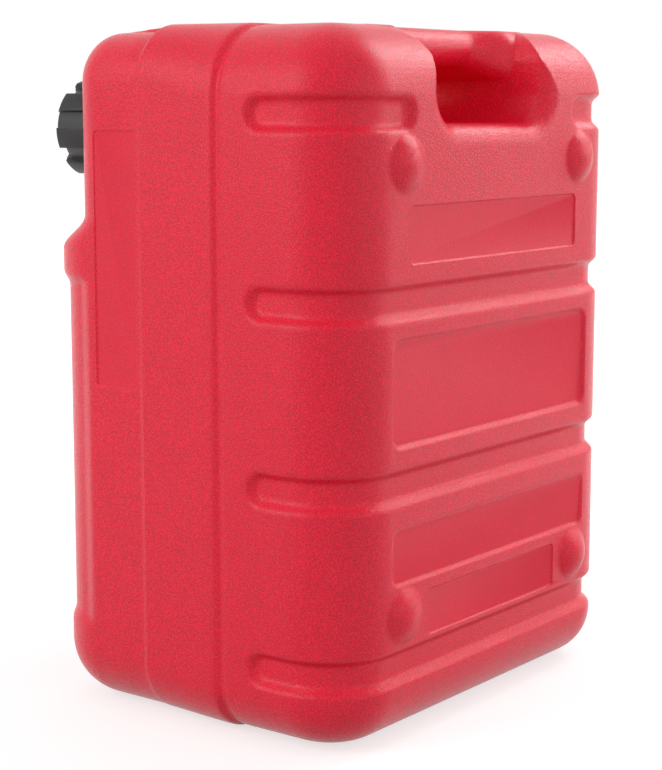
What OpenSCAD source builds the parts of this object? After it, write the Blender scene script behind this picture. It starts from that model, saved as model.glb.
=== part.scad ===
// Portable outboard fuel tank, stood on its end as it is carried.
// Millimetres, +Z up, X across the broad face. The panelled broad face looks to -Y,
// the face with the filler cap and the fuel unit looks to +Y.
// "Depth" means the distance behind the plane of the broad face, along +Y.

/* [Tank body] */
// Width of the tank across its broad face
body_w = 315; // [305:1:325]
// Height of the tank as it stands, at the raised middle band
body_h = 425; // [420:1:440]
// Depth from the broad face to the rear face
body_d = 244; // [240:1:248]
// Wall thickness of the moulding
wall = 3.2; // [2.5:0.1:4]
// Radius of the four long upright edges
edge_r = 45; // [44.5:0.5:48]
// Radius of the edges round the top end, front half
top_r = 43; // [36:1:44]
// Radius of the edges round the top end, rear half
top_rear_r = 31; // [28:1:38]
// Radius of the edges round the bottom end, front half
base_r = 33; // [30:1:36]
// Radius of the edges round the bottom end, rear half
base_rear_r = 38; // [33:1:42]
// How far the filler deck lies in front of the rear face
deck_drop = 23; // [18:1:25]
// Distance from the top down to where the slope to the deck begins
deck_from = 135; // [131:1:139]
// Distance from the top down to where the deck is reached
deck_to = 113; // [109:1:117]

/* [Raised middle band] */
// Depth of the step in front of the band
step_depth = 94; // [91:1:97]
// Depth of the mould parting line behind the band
part_depth = 152; // [148:1:153]
// How far the front half lies inside the band
front_inset = 1.3; // [0.8:0.1:2]
// How far the rear half lies inside the band on the two sides
rear_inset = 0.8; // [0.4:0.1:1.5]
// How far the rear half lies below the band on top
rear_drop = 4.4; // [2:0.1:5]

/* [Grooves] */
// Height of the lowest groove
groove_z = 47; // [46:0.5:48]
// Distance from the top down to the highest groove
groove_top = 51.6; // [50:0.2:54]
// Depth of a groove
groove_depth = 5; // [3:0.1:6]
// Half the height of a groove at the surface
groove_half = 12; // [10:0.5:13]
// Width of a groove's sloped wall
groove_slope = 6.5; // [5:0.5:7]
// Depth at which the grooves end on the side faces
groove_end = 74; // [70:1:78]
// Distance from the middle at which the top groove stops
groove_gap = 88; // [86:1:92]
// Depth of the shallow recess across the rear face
strap_depth = 3.6; // [1.5:0.1:5]
// Lower edge of the recess across the rear face
strap_z0 = 50; // [46:1:56]
// Distance from the top down to the recess across the rear face
strap_top = 149; // [145:1:155]
// How far the rim below the recess lies in front of the rear face
rim_drop = 2; // [0:0.1:3]

/* [Handle] */
// Half the width of the hand opening
hand_half = 60; // [56:1:60]
// Depth of the hand opening below the top
hand_depth = 59; // [55:1:61]
// Radius of the lower corners of the hand opening
hand_r = 20; // [16:1:22]
// Rounding of the mouth of the hand opening, front and rear
hand_flare = 13; // [8:1:14]
// Rounding of the two shoulders at the top of the opening
shoulder_r = 22; // [18:1:24]
// Depth of the front face of the handle bar
bar_front = 44; // [40:1:50]
// Width of the handle bar from front to rear
bar_w = 74; // [60:1:84]
// Height of the handle bar
bar_h = 23; // [20:1:26]
// Gap from the top of the middle band down to the top of the bar
bar_drop = 1; // [0.5:0.1:2.5]

/* [Feet and panels of the broad face] */
// Distance of the domed feet from the side faces
foot_side = 59.5; // [57.5:0.5:62]
// Distance from the top down to the upper two feet
foot_top = 81.5; // [79:0.5:84]
// Height of the lower two feet
foot_z0 = 78.5; // [76:0.5:80]
// Radius of a foot at its root
foot_r = 17; // [14:0.5:17.5]
// How far a foot stands out
foot_h = 7; // [5:0.5:8]
// Distance of the upper panel from the side faces
sign_side = 63.5; // [61.5:0.5:69]
// Distance from the top down to the upper panel
sign_top = 105; // [103:0.5:107]
// Height of the upper panel
sign_h = 34; // [30:0.5:36]
// Depth of the panels with a sharp edge
panel_depth = 1.1; // [0.6:0.1:1.5]
// Distance of the wide panels from the side faces
wide_side = 47.5; // [47:0.5:51]
// Distance of the large panel from the middle of the groove below it
large_low = 23.7; // [22.5:0.1:26]
// Distance of the large panel from the middle of the groove above it
large_high = 21.1; // [20:0.1:24]
// Depth of the large panel
large_depth = 2.4; // [1.5:0.1:3]
// Distance of the third panel from the middle of the groove above it
third_high = 23.3; // [22:0.1:26]
// Width of the rib between the third and the lowest panel
rib = 7.5; // [6.5:0.5:9]
// Distance of the lowest panel from the side faces
low_side = 84; // [82:0.5:88]
// Distance of the lowest panel from the middle of the groove below it
low_low = 14.5; // [13.5:0.5:16]
// Height of the lowest panel
low_h = 28.5; // [26:0.5:30]
// Distance from the top down to the tall side panel
tall_top = 63; // [60:1:67]
// Height of the tall side panel
tall_h = 156.5; // [150:0.5:160]
// Depth at which the tall side panel begins
tall_d0 = 157; // [156:0.5:160]
// Depth at which the tall side panel ends
tall_d1 = 191; // [188:0.5:192]

/* [Filler cap] */
// Distance of the filler from the side face
cap_side = 62.5; // [59.5:0.5:64.5]
// Distance from the top down to the filler
cap_drop = 63; // [59:1:67]
// Bore of the filler neck, radius
neck_bore = 18.5; // [16:0.5:19]
// Outside of the filler neck, radius
neck_r = 21.6; // [21:0.1:22]
// How far the thread stands out from the neck
thread_h = 1; // [0.6:0.1:1.2]
// Height of the neck above the deck
neck_h = 26; // [22:1:27]
// Radius of the cap over its lobes
lobe_r = 31; // [30:0.5:32]
// Radius of the cap between its lobes
cap_r = 27.6; // [27.3:0.1:28.2]
// Width of a lobe
lobe_w = 13; // [11:0.5:14]
// Number of lobes
lobe_n = 8; // [6:1:10]
// Distance from the cap's axis to the floor of a deep notch in its end
notch_r = 20.5; // [18:0.5:23]
// Gap between the deck and the cap's skirt
cap_gap = 4; // [3.5:0.5:6]
// Thickness of the cap's end wall
cap_top = 6; // [4:0.5:7]
// Thickness of the thread insert inside the cap
insert_t = 2.6; // [2:0.1:2.8]
// Thickness of the seals
seal_t = 2; // [1.5:0.1:2.5]
// Radius of the vent knob
vent_r = 9; // [7:0.5:11]
// Height of the vent knob
vent_h = 8; // [6:0.5:10]
// Radius of the vent screw's stem
stem_r = 4; // [3:0.1:4.5]

/* [Fuel unit] */
// Distance of the fuel unit from the side face
unit_side = 57.5; // [55.5:0.5:58.5]
// Distance from the top down to the fuel unit
unit_drop = 76; // [74:1:79]
// Radius of the unit's flange
flange_r = 27; // [26.5:0.1:27.5]
// Thickness of the unit's flange
flange_t = 5; // [4:0.5:6]
// Radius of the unit's spigot in the tank's hole
spigot_r = 18; // [17.5:0.1:18]
// How far the pad under the unit stands on the deck
pad_h = 3; // [2:0.5:4]
// Number of flange screws
screw_n = 5; // [4:1:6]
// Radius of the screw circle
screw_ring = 23; // [22.8:0.1:23.2]
// Radius of a screw's shank
screw_r = 1.6; // [1.4:0.1:1.8]
// Outside radius of the gauge well
well_r = 16; // [15.5:0.1:16]
// Height of the gauge well above the flange
well_h = 12; // [11:0.5:13]
// Thickness of the gauge dial
dial_t = 0.8; // [0.6:0.1:1]
// Length of the gauge pointer
pointer_l = 10; // [8:0.5:10.5]
// Distance from the flange face down to the float pivot
pivot_drop = 106; // [100:1:110]
// Length of the float arm
arm_l = 78; // [70:1:80]
// Radius of the float arm's wire
arm_r = 1.5; // [1.2:0.1:1.8]
// Radius of the float
float_r = 12; // [10:0.5:13]
// Length of the float
float_l = 34; // [28:1:36]
// Radius of the pickup tube
tube_r = 4; // [3:0.1:4.5]
// Bore of the pickup tube, radius
tube_bore = 2.8; // [2:0.1:3]
// Distance from the strainer to the broad face
foot_gap = 14; // [12:1:20]
// Radius of the strainer
strainer_r = 7; // [6.5:0.1:7.5]
// Height of the strainer
strainer_h = 22; // [16:1:26]

/* [Fuel connector] */
// Height of the connector's axis above the flange face
outlet_up = 6; // [5:0.5:7]
// Radius of the outlet boss
outlet_r = 7.5; // [7:0.1:8]
// How far the outlet boss reaches from the unit's axis
outlet_l = 34; // [32:1:36]
// Radius of the connector's nose
nose_r = 4.5; // [4:0.1:4.8]
// Length of the connector's nose
nose_l = 20; // [18:1:22]
// Thickness of the connector's hexagon
hex_t = 7; // [5:0.5:8]
// Travel of the check pin
pin_travel = 3; // [2:0.5:3.5]

/* [Fits] */
// Gap round a piece that turns or slides, radius
run_gap = 0.08; // [0.05:0.01:0.1]
// Gap between pieces that stand apart
clear = 0.4; // [0.3:0.1:0.6]

/* [Hidden] */
vent_stand = cap_gap + (neck_h + seal_t - cap_gap) + cap_top;
deck_d = body_d - deck_drop;
reach = deck_d + vent_stand + vent_h;
y_mid = (reach - foot_h) / 2;
half_w = body_w / 2;
half_h = body_h / 2;
deck_z0 = body_h - deck_from;
deck_z1 = body_h - deck_to;
groove_pitch = (body_h - groove_top - groove_z) / 3;
strap_z1 = body_h - strap_top;
hand_floor = body_h - hand_depth;
foot_x = half_w - foot_side;
foot_z1 = body_h - foot_top;
sign_half = half_w - sign_side;
sign_z1 = body_h - sign_top;
wide_half = half_w - wide_side;
large_z0 = groove_z + groove_pitch + large_low;
large_z1 = groove_z + 2 * groove_pitch - large_high;
low_half = half_w - low_side;
low_z0 = groove_z + low_low;
third_z0 = low_z0 + low_h + rib;
third_z1 = groove_z + groove_pitch - third_high;
tall_z1 = body_h - tall_top;
cap_x = cap_side - half_w;
cap_z = body_h - cap_drop;
unit_x = half_w - unit_side;
unit_z = body_h - unit_drop;
thread_r = neck_r + thread_h;
insert_bore = thread_r + clear;
insert_r = insert_bore + insert_t;
pad_r = flange_r + 3;
hole_r = spigot_r + clear;
flange_face = pad_h + seal_t + flange_t;
well_floor = flange_face + 2.4;
dial_z = well_floor + 4;
pin_r = 1.2;
shaft_r = 1.1;
pivot_z = flange_face - pivot_drop;
tube_x = 1.5;
tube_y = -11.5;
key_x = 6.2;
key_r = 1;
spigot_l = 12;
rear_blend = 20;
notch_floor = 1.5;
riser_back = 13.5;
riser_y = riser_back - outlet_l;
shaft_foot = 6.5;
plate_up = 14;
through = 20;
screw_turn = 270 + 180 / screw_n;
bracket_w = 10;
bracket_t = 3;
strainer_z = foot_gap - deck_d;
bore_r = 2.6;
$fn = 64;

function depth_y(d) = d - y_mid;
function ease(t) = let (u = min(1, max(0, t))) u * u * (3 - 2 * u);
function flip(list) = [for (i = [len(list) - 1 : -1 : 0]) list[i]];

// ---- the moulded body as a loft of level rings ----

// Share of the rear half in the end rounding at a depth.
function rear_share(d) = ease((d - step_depth) / (part_depth + rear_blend - step_depth));

// Inset of a ring from the upright wall, by its depth and height, for the skin at distance w inside.
function end_inset(d, z, w) =
    let (k = rear_share(d),
        r = (z > half_h ? top_r + k * (top_rear_r - top_r) : base_r + k * (base_rear_r - base_r)) - w,
        t = (z > half_h ? body_h - z : z) - w)
    t >= r ? 0 : r - sqrt(max(0, r * r - (r - t) * (r - t)));

// Half of an outline from the front middle round to the rear: core point and normal.
function half_outline(front_x, side_d, corner_n, rear_x) = concat(
    [for (x = front_x) [x, edge_r, 0, -1]],
    [for (i = [0 : corner_n]) let (a = -90 + 90 * i / corner_n)
        [half_w - edge_r, edge_r, cos(a), sin(a)]],
    [for (d = side_d) [half_w - edge_r, d, 1, 0]],
    [for (i = [0 : corner_n]) let (a = 90 * i / corner_n)
        [half_w - edge_r, body_d - edge_r, cos(a), sin(a)]],
    [for (x = rear_x) [x, body_d - edge_r, 0, 1]]);

// How deep one groove lies at a point of the skin.
function one_groove(x, d, z, i) =
    let (past = max(0, d - (groove_end - groove_half)),
        gap = (i == 3 && d < edge_r) ? max(0, groove_gap + groove_half - x) : 0,
        off = sqrt(past * past + gap * gap + pow(z - groove_z - i * groove_pitch, 2)))
    groove_depth * ease((groove_half - off) / groove_slope);

function groove_in(x, d, z) = one_groove(x, d, z, 0) + one_groove(x, d, z, 1)
    + one_groove(x, d, z, 2) + one_groove(x, d, z, 3);

function strap_in(d, z) = strap_depth * ease((z - strap_z0) / 9) * ease((strap_z1 - z) / 9)
    * ease((d - body_d + edge_r + 4) / 14);

// Insets of the two halves from the middle band, on the sides and on top.
function side_in(d) = front_inset * (1 - ease((d - step_depth + 1.5) / 3))
    + rear_inset * ease((d - part_depth + 1) / 4);
function top_in(d) = front_inset * (1 - ease((d - step_depth + 1.5) / 3))
    + rear_drop * ease((d - part_depth + 1) / 6);
function foot_in(d) = front_inset * (1 - ease((d - step_depth + 1.5) / 3));

function deck_in(d, z) = (deck_drop * ease((z - deck_z0) / (deck_z1 - deck_z0))
    + rim_drop * ease((strap_z0 + 9 - z) / 9)) * min(1, max(0, (d - part_depth) / (body_d - part_depth)));

function skin_point(c, z, w) =
    let (x0 = c[0] + edge_r * c[2],
        d0 = c[1] + edge_r * c[3],
        r = edge_r - w - end_inset(d0, z, w),
        q = r - groove_in(x0, d0, z) - strap_in(d0, z),
        x = c[0] + q * c[2],
        d = c[1] + q * c[3])
    [x - side_in(d) * x / half_w,
        depth_y(d - deck_in(d, z)),
        z > half_h ? z - top_in(d) * (z - half_h) / half_h : z + foot_in(d) * (half_h - z) / half_h];

function ring(half, z, w) =
    let (right = [for (c = half) skin_point(c, z, w)])
    concat(right, [for (p = flip(right)) [-p[0], p[1], p[2]]]);

// A closed solid from level rings; the two ends are strips from side to side.
module ring_loft(half, heights, w) {
    n = 2 * len(half);
    m = len(heights);
    points = [for (z = heights) each ring(half, z, w)];
    walls = [for (k = [0 : m - 2], i = [0 : n - 1])
        let (a = k * n + i, b = k * n + (i + 1) % n)
        each [[a, b + n, b], [a, a + n, b + n]]];
    ends = [for (i = [0 : n / 2 - 2]) let (j = n - 1 - i, t = (m - 1) * n)
        each [[i, i + 1, j - 1], [i, j - 1, j], [t + i, t + j - 1, t + i + 1],
            [t + i, t + j, t + j - 1]]];
    polyhedron(points = points, faces = concat(walls, ends), convexity = 6);
}

groove_levels = [-groove_half, -groove_half + 2.6, -groove_half + groove_slope, groove_half - groove_slope,
    groove_half - 2.6, groove_half];
function groove_heights(levels) = [for (i = [0 : 3], g = levels) groove_z + i * groove_pitch + g];
function end_heights(r, w, n) = [for (i = [0 : n - 1]) w + (r - w) * (1 - cos(90 * i / n))];

outer_heights = concat([for (h = end_heights(base_rear_r, 0, 8)) if (h < groove_z - groove_half - 1) h],
    [for (g = groove_levels) groove_z + g],
    [groove_z + groove_half + 4, groove_z + groove_pitch / 2],
    [for (g = groove_levels) groove_z + groove_pitch + g], [groove_z + 1.5 * groove_pitch],
    [for (g = groove_levels) groove_z + 2 * groove_pitch + g],
    [for (k = [0.1, 0.36, 0.64, 1]) deck_z0 + k * (deck_z1 - deck_z0)],
    [(deck_z1 + groove_z + 3 * groove_pitch - groove_half) / 2],
    [for (g = groove_levels) groove_z + 3 * groove_pitch + g],
    [for (h = flip(end_heights(top_r, 0, 7))) if (body_h - h > groove_z + 3 * groove_pitch + groove_half + 1)
        body_h - h]);
outer_half = half_outline([groove_gap - 4, groove_gap, groove_gap + 4, groove_gap + 8, groove_gap + 12],
    [groove_end - 14, groove_end - 9, groove_end - 5, groove_end - 2, groove_end, step_depth - 1.5,
    step_depth + 1.5, part_depth - 1, part_depth + 4, part_depth + rear_blend], 6, [hand_half]);

inner_heights = concat([for (h = end_heights(base_rear_r, wall, 6)) if (h < groove_z - groove_half - 1) h],
    [for (g = [-groove_half, -5.5, 5.5, groove_half]) groove_z + g],
    [groove_z + groove_half + 4],
    [for (i = [1 : 2], g = [-groove_half, -5.5, 5.5, groove_half]) groove_z + i * groove_pitch + g],
    [deck_z0, (deck_z0 + deck_z1) / 2, deck_z1],
    [for (g = [-groove_half, -5.5, 5.5, groove_half]) groove_z + 3 * groove_pitch + g],
    [for (h = flip(end_heights(top_r, wall, 5)))
        if (body_h - h > groove_z + 3 * groove_pitch + groove_half + 1) body_h - h]);
inner_half = half_outline([groove_gap, groove_gap + groove_half - 2],
    [groove_end - 8, groove_end, part_depth + rear_blend], 4, [hand_half]);

// Outline of the hand opening at one depth: a U with rounded feet and spread shoulders.
function hand_half_outline(f, n) = concat(
    [[0, hand_floor - f]],
    [for (i = [0 : n]) let (a = -90 + 90 * i / n)
        [hand_half - hand_r + (hand_r + f) * cos(a), hand_floor + hand_r + (hand_r + f) * sin(a)]],
    [for (i = [1 : n]) let (a = 90 * i / n)
        [hand_half + f + shoulder_r * (1 - cos(a)), body_h - front_inset - shoulder_r + shoulder_r * sin(a)]],
    [[hand_half + f + shoulder_r + 4, body_h + 4]]);

// The hand opening as a cutter, wider by grow all round; its two mouths are rounded.
module hand_cut(grow, n, m) {
    mouth = [for (i = [0 : m]) let (a = 90 * i / m) [hand_flare * (1 - cos(a)), hand_flare * (1 - sin(a))]];
    rear = deck_d;
    stations = concat([[-8, hand_flare]], mouth, [for (s = flip(mouth)) [rear - s[0], s[1]]],
        [[rear + 40, hand_flare]]);
    rings = [for (s = stations)
        let (h = hand_half_outline(s[1] + grow, n))
        concat([for (p = h) [p[0], depth_y(s[0]), p[1]]],
            [for (p = flip(h)) if (p[0] > 0) [-p[0], depth_y(s[0]), p[1]]])];
    k = len(rings[0]);
    polyhedron(points = [for (r = rings) each r],
        faces = concat([[for (i = [k - 1 : -1 : 0]) i], [for (i = [0 : k - 1]) (len(rings) - 1) * k + i]],
            [for (j = [0 : len(rings) - 2], i = [0 : k - 1])
                let (a = j * k + i, b = j * k + (i + 1) % k)
                each [[a, b + k, a + k], [a, b, b + k]]]),
        convexity = 4);
}

// Rounded bar along X between two half lengths.
module bar_solid(l, skin) {
    r = bar_h / 2 - skin;
    z = body_h - bar_drop - bar_h / 2;
    d0 = bar_front + bar_h / 2;
    d1 = bar_front + bar_w - bar_h / 2;
    hull()
        for (d = [d0, d1])
            translate([-l, depth_y(d), z])
                rotate([0, 90, 0])
                    cylinder(r = r, h = 2 * l, $fn = 24);
}

// Root of the bar, swelling into the shoulder.
module bar_root(side) {
    z = body_h - bar_drop - bar_h / 2;
    mirror([side < 0 ? 1 : 0, 0, 0])
        hull() {
            for (d = [bar_front + bar_h / 2, bar_front + bar_w - bar_h / 2])
                translate([hand_half - 16, depth_y(d), z])
                    rotate([0, 90, 0])
                        cylinder(r = bar_h / 2, h = 0.1, $fn = 24);
            for (d = [bar_front + bar_h / 2 - 5, bar_front + bar_w - bar_h / 2 + 5])
                translate([hand_half - 5, depth_y(d), z - 2])
                    rotate([0, 90, 0])
                        cylinder(r = bar_h / 2, h = 0.1, $fn = 24);
            for (d = [bar_front + bar_h / 2 - 14, bar_front + bar_w - bar_h / 2 + 14])
                translate([hand_half + 3, depth_y(d), z - 9])
                    rotate([0, 90, 0])
                        cylinder(r = bar_h / 2, h = 0.1, $fn = 24);
            for (d = [bar_front + bar_h / 2, bar_front + bar_w - bar_h / 2])
                translate([hand_half + shoulder_r, depth_y(d), z])
                    rotate([0, 90, 0])
                        cylinder(r = bar_h / 2, h = 0.1, $fn = 24);
        }
}

module foot(x, z) {
    ball = (foot_r * foot_r + foot_h * foot_h) / (2 * foot_h);
    translate([x, depth_y(0), z])
        rotate([90, 0, 0])
            rotate_extrude($fn = 24)
                polygon(concat([[0, -1], [foot_r, -1]],
                    [for (i = [0 : 4]) let (a = asin(foot_r / ball) * (4 - i) / 4)
                        [ball * sin(a), ball * cos(a) - ball + foot_h]]));
}

module plate(w, h, r, t) {
    linear_extrude(t)
        offset(r = r, $fn = 20)
            square([w - 2 * r, h - 2 * r], center = true);
}

// Sunken panel in the broad face, with a sloped rim.
module panel_cut(half, z0, z1, sink, rim, r) {
    translate([0, depth_y(0), (z0 + z1) / 2])
        rotate([-90, 0, 0])
            hull() {
                translate([0, 0, -1])
                    plate(2 * half + 2 * rim / sink, z1 - z0 + 2 * rim / sink, r, 1);
                plate(2 * half, z1 - z0, r, 0.01);
                translate([0, 0, sink])
                    plate(2 * (half - rim), z1 - z0 - 2 * rim, max(0.5, r - rim), 0.01);
            }
}

// Sunken panel in the left face.
module side_panel_cut() {
    translate([-half_w + rear_inset, depth_y((tall_d0 + tall_d1) / 2), tall_z1 - tall_h / 2])
        rotate([0, 90, 0])
            hull() {
                translate([0, 0, -1])
                    plate(tall_h, tall_d1 - tall_d0, 3, 1);
                translate([0, 0, panel_depth])
                    plate(tall_h - 0.8, tall_d1 - tall_d0 - 0.8, 3, 0.01);
            }
}

module at_cap() {
    translate([cap_x, depth_y(deck_d), cap_z])
        rotate([-90, 0, 0])
            children();
}

module at_unit() {
    translate([unit_x, depth_y(deck_d), unit_z])
        rotate([-90, 0, 0])
            children();
}

module tank_shell() {
    color([0.82, 0.10, 0.16])
        difference() {
            union() {
                difference() {
                    union() {
                        ring_loft(outer_half, outer_heights, 0);
                        for (x = [-foot_x, foot_x], z = [foot_z0, foot_z1])
                            foot(x, z);
                        at_cap() {
                            translate([0, 0, -8])
                                cylinder(r = neck_r + 3, h = 10.5, $fn = 48);
                            translate([0, 0, -8])
                                cylinder(r = neck_r, h = neck_h + 8, $fn = 48);
                            for (i = [0 : 1])
                                translate([0, 0, cap_gap + 7 + 6 * i])
                                    rotate_extrude($fn = 48)
                                        polygon([[neck_r - 0.5, 0], [neck_r - 0.5, 3], [thread_r, 1.9],
                                            [thread_r, 1.1]]);
                        }
                        at_unit()
                            translate([0, 0, -spigot_l])
                                cylinder(r = pad_r, h = spigot_l + pad_h, $fn = 48);
                    }
                    hand_cut(0, 5, 4);
                }
                bar_solid(hand_half + shoulder_r + 2, 0);
                bar_root(1);
                bar_root(-1);
            }
            difference() {
                ring_loft(inner_half, inner_heights, wall);
                hand_cut(wall, 3, 2);
                at_unit()
                    translate([0, 0, -spigot_l])
                        cylinder(r = pad_r, h = 2 * spigot_l, $fn = 48);
                at_cap()
                    translate([0, 0, -8])
                        cylinder(r = neck_r, h = 20, $fn = 48);
            }
            bar_solid(hand_half + shoulder_r + 6, wall);
            panel_cut(sign_half, sign_z1 - sign_h, sign_z1, panel_depth, 0.4, 4);
            panel_cut(wide_half, large_z0, large_z1, large_depth, 3, 5);
            panel_cut(wide_half, third_z0, third_z1, panel_depth, 0.8, 3);
            panel_cut(low_half, low_z0, low_z0 + low_h, panel_depth, 0.4, 3);
            side_panel_cut();
            at_cap()
                translate([0, 0, -through])
                    cylinder(r = neck_bore, h = neck_h + 2 * through, $fn = 48);
            at_unit() {
                translate([0, 0, -through])
                    cylinder(r = hole_r, h = 2 * through, $fn = 48);
                for (i = [0 : screw_n - 1])
                    rotate(screw_turn + 360 * i / screw_n)
                        translate([screw_ring, 0, -8])
                            cylinder(r = screw_r + 0.05, h = 30, $fn = 16);
            }
        }
}

// ---- filler cap ----

module filler_cap() {
    roof = neck_h + seal_t;
    color([0.09, 0.09, 0.10])
        at_cap()
            difference() {
                intersection() {
                    translate([0, 0, cap_gap])
                        linear_extrude(roof + cap_top - cap_gap)
                            union() {
                                circle(r = cap_r);
                                for (i = [0 : lobe_n - 1])
                                    rotate(-11 + 360 * i / lobe_n)
                                        translate([lobe_r - 6, -lobe_w / 2])
                                            square([6, lobe_w]);
                            }
                    translate([0, 0, cap_gap])
                        union() {
                            cylinder(r1 = lobe_r - 1.5, r2 = lobe_r, h = 3);
                            translate([0, 0, 3])
                                cylinder(r = lobe_r, h = roof + cap_top - cap_gap - 5.5);
                            translate([0, 0, roof + cap_top - cap_gap - 2.5])
                                cylinder(r1 = lobe_r, r2 = lobe_r - 2.5, h = 2.5);
                        }
                }
                translate([0, 0, -1])
                    cylinder(r = insert_r, h = roof + 1);
                translate([0, 0, roof - 1])
                    cylinder(r = stem_r + run_gap, h = cap_top + 2);
                translate([0, 0, roof + cap_top - 1.6])
                    cylinder(r = stem_r + 2.6, h = 4);
                for (i = [1 : 2 : lobe_n - 1])
                    rotate(-11 + 360 * (i + 0.5) / lobe_n)
                        translate([notch_r, 0, roof + notch_floor])
                            linear_extrude(cap_top)
                                polygon([[0, -2.4], [12, -6.4], [12, 6.4], [0, 2.4]]);
            }
}

module cap_insert() {
    color([0.16, 0.16, 0.17])
        at_cap()
            translate([0, 0, cap_gap + 1])
                difference() {
                    cylinder(r = insert_r, h = neck_h - cap_gap - 2);
                    translate([0, 0, -1])
                        cylinder(r = insert_bore, h = neck_h);
                    translate([0, 0, -0.01])
                        cylinder(r1 = insert_bore + 1.2, r2 = insert_bore, h = 1.2);
                }
}

module cap_gasket() {
    color([0.12, 0.12, 0.12])
        at_cap()
            translate([0, 0, neck_h])
                difference() {
                    cylinder(r = thread_r, h = seal_t);
                    translate([0, 0, -1])
                        cylinder(r = neck_bore, h = seal_t + 2);
                }
}

module vent_screw() {
    top = neck_h + seal_t + cap_top;
    color([0.10, 0.10, 0.11])
        at_cap()
            difference() {
                union() {
                    translate([0, 0, top])
                        cylinder(r = stem_r + 1.6, h = 1);
                    translate([0, 0, top + 0.6])
                        linear_extrude(vent_h - 0.6)
                            union() {
                                circle(r = vent_r - 1.2);
                                for (i = [0 : 9])
                                    rotate(36 * i)
                                        translate([vent_r - 1.6, 0])
                                            circle(r = 1.6, $fn = 20);
                            }
                    translate([0, 0, neck_h - 10])
                        cylinder(r = stem_r, h = seal_t + cap_top + 10.5);
                }
                translate([0, 0, neck_h - 11])
                    cylinder(r = 1.2, h = 11);
                translate([0, 0, neck_h - 2.2])
                    difference() {
                        cylinder(r = stem_r + 1, h = 1.2);
                        translate([0, 0, -1])
                            cylinder(r = stem_r - 0.8, h = 4);
                    }
            }
}

module vent_seal() {
    color([0.15, 0.15, 0.15])
        at_cap()
            translate([0, 0, neck_h + seal_t + cap_top - 1.6])
                difference() {
                    cylinder(r = stem_r + 2.5, h = 1.6);
                    translate([0, 0, -1])
                        cylinder(r = stem_r + 0.1, h = 4);
                }
}

module vent_clip() {
    color([0.72, 0.72, 0.74])
        at_cap()
            translate([0, 0, neck_h - 2.1])
                difference() {
                    cylinder(r = stem_r + 2.6, h = 1);
                    translate([0, 0, -1])
                        cylinder(r = stem_r - 0.7, h = 3);
                    translate([0, -1, -1])
                        cube([10, 2, 3]);
                }
}

// ---- fuel unit: flange, gauge, float and pickup ----

module flange_gasket() {
    color([0.13, 0.13, 0.13])
        at_unit()
            translate([0, 0, pad_h])
                difference() {
                    cylinder(r = flange_r, h = seal_t);
                    translate([0, 0, -1])
                        cylinder(r = hole_r, h = seal_t + 2);
                    for (i = [0 : screw_n - 1])
                        rotate(screw_turn + 360 * i / screw_n)
                            translate([screw_ring, 0, -1])
                                cylinder(r = screw_r + clear, h = seal_t + 2, $fn = 24);
                }
}

module unit_body() {
    color([0.11, 0.11, 0.12])
        at_unit()
            difference() {
                union() {
                    translate([0, 0, pad_h + seal_t])
                        cylinder(r = flange_r, h = flange_t);
                    translate([0, 0, -spigot_l])
                        difference() {
                            cylinder(r = spigot_r, h = spigot_l + pad_h + seal_t + 1);
                            translate([0, 0, -0.5])
                                cylinder(r = spigot_r - 3, h = spigot_l - 1);
                        }
                    translate([0, 0, flange_face - 1])
                        cylinder(r = well_r, h = well_h + 1);
                    translate([0, -8, flange_face + outlet_up])
                        rotate([90, 0, 0])
                            cylinder(r = outlet_r, h = outlet_l - 8);
                    for (x = [-4, 4])
                        translate([x, -bracket_w / 2, pivot_z - 6])
                            cube([bracket_t, bracket_w, 5 - pivot_z]);
                    translate([-4, -bracket_w / 2, pivot_z + plate_up])
                        cube([8 + bracket_t, bracket_w, bracket_t]);
                    translate([tube_x, tube_y, -spigot_l - 10])
                        cylinder(r = tube_r + 2, h = spigot_l + 9);
                }
                translate([0, 0, well_floor])
                    cylinder(r = well_r - 3.2, h = well_h);
                translate([0, 0, dial_z])
                    cylinder(r = well_r - 2, h = well_h);
                translate([0, 0, flange_face + well_h - 1.6])
                    cylinder(r = well_r - 1.2, h = well_h);
                translate([1.5, 0, pivot_z])
                    cylinder(r = shaft_r + run_gap, h = well_floor - pivot_z + 1);
                translate([-5, 0, pivot_z])
                    rotate([0, 90, 0])
                        cylinder(r = pin_r, h = 14, $fn = 32);
                translate([tube_x, tube_y, -spigot_l - 11])
                    cylinder(r = tube_r, h = 12.5);
                translate([tube_x, tube_y, 1 - spigot_l])
                    cylinder(r = 2, h = spigot_l - 1 + flange_face - 2.5);
                translate([0, riser_y, flange_face - 2.5])
                    rotate([0, 90, atan2(tube_y - riser_y, tube_x)])
                        cylinder(r = 1.9, h = norm([tube_x, tube_y - riser_y]));
                translate([0, riser_y, flange_face - 2.5])
                    cylinder(r = 2, h = outlet_up + 2.5);
                translate([0, 10 - outlet_l, flange_face + outlet_up])
                    rotate([90, 0, 0])
                        cylinder(r = bore_r + 2.4, h = 11);
                translate([0, 14.5 - outlet_l, flange_face + outlet_up])
                    rotate([90, 0, 0])
                        cylinder(r = bore_r, h = 15.5);
                for (i = [0 : screw_n - 1])
                    rotate(screw_turn + 360 * i / screw_n)
                        translate([screw_ring, 0, pad_h])
                            cylinder(r = screw_r + clear, h = 20, $fn = 24);
            }
}

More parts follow.
